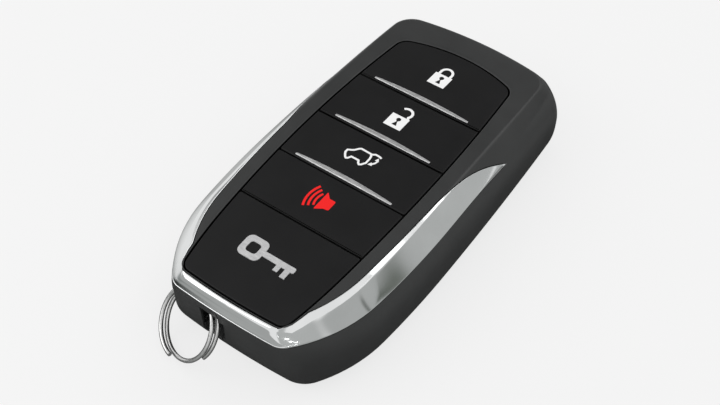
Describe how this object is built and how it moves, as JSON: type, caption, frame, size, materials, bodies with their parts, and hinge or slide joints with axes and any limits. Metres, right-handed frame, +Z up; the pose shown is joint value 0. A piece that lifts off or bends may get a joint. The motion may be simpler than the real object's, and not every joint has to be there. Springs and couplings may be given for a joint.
{
  "type": "car key",
  "caption": "Smart car key with pressable buttons, a bright trim, a flat back, a draw-out mechanical key with a split ring, and a sprung release slide.",
  "frame": {"origin": "on the flat back, under the middle of the case's width", "axes": "+X across the case, towards the bare side of the ring end; +Y along the case, from the ring end to the lock button; +Z up through the buttons"},
  "size_m": [0.0416, 0.0851, 0.0173],
  "materials": {
    "bright_trim": "polished",
    "case_plastic": "satin",
    "cover_plastic": "satin",
    "button_plastic": "satin",
    "bar_metal": "brushed",
    "membrane_rubber": "matt",
    "board_laminate": "coated",
    "switch_metal": "plain",
    "chip_plastic": "matt",
    "crystal_metal": "plain",
    "carrier_plastic": "matt",
    "cell_steel": "plain",
    "contact_metal": "plain",
    "coil_body": "coated",
    "blade_steel": "machined",
    "head_plastic": "satin",
    "ring_steel": "polished",
    "slide_plastic": "satin",
    "spring_steel": "plain"
  },
  "bodies": {
    "case": {"chrome_trim": "bright_trim", "case_frame": "case_plastic", "back_cover": "cover_plastic", "badge_plate": "button_plastic", "keypad_membrane": "membrane_rubber", "circuit_board": "board_laminate", "switch_lock": "switch_metal", "switch_unlock": "switch_metal", "switch_hatch": "switch_metal", "switch_panic": "switch_metal", "control_chip": "chip_plastic", "radio_chip": "chip_plastic", "crystal_can": "crystal_metal", "inner_carrier": "carrier_plastic", "coin_cell": "cell_steel", "positive_clip": "contact_metal", "negative_contact": "contact_metal", "antenna_x": "coil_body", "antenna_y": "coil_body", "antenna_z": "coil_body", "release_spring": "spring_steel"},
    "lock_button": {"button_lock": "button_plastic", "bar_lock": "bar_metal"},
    "unlock_button": {"button_unlock": "button_plastic", "bar_unlock": "bar_metal"},
    "hatch_button": {"button_hatch": "button_plastic", "bar_hatch": "bar_metal"},
    "panic_button": {"button_panic": "button_plastic"},
    "key": {"key_head": "head_plastic", "key_blade": "blade_steel", "key_pin": "blade_steel"},
    "ring": {"split_ring": "ring_steel"},
    "release": {"release_slide": "slide_plastic"}
  },
  "joints": [
    {"name": "lock_button_press", "type": "slide", "parent": "case", "child": "lock_button", "axis": [0, 0, -1], "range_m": [0, 0.00035], "stiffness_N_per_m": 6000},
    {"name": "unlock_button_press", "type": "slide", "parent": "case", "child": "unlock_button", "axis": [0, 0, -1], "range_m": [0, 0.00035], "stiffness_N_per_m": 6000},
    {"name": "hatch_button_press", "type": "slide", "parent": "case", "child": "hatch_button", "axis": [0, 0, -1], "range_m": [0, 0.00035], "stiffness_N_per_m": 6000},
    {"name": "panic_button_press", "type": "slide", "parent": "case", "child": "panic_button", "axis": [0, 0, -1], "range_m": [0, 0.00035], "stiffness_N_per_m": 6000},
    {"name": "key_draw", "type": "slide", "parent": "case", "child": "key", "axis": [0, -1, 0], "range_m": [0, 0.045]},
    {"name": "ring_swing", "type": "hinge", "parent": "key", "child": "ring", "pos_m": [-0.00835, -0.03762, 0.00833], "axis": [-0.9516, 0.1394, -0.2739], "range_deg": [0, 40]},
    {"name": "release_push", "type": "slide", "parent": "case", "child": "release", "axis": [1, 0, 0], "range_m": [0, 0.0014], "stiffness_N_per_m": 900, "deforming": ["release_spring"]}
  ]
}
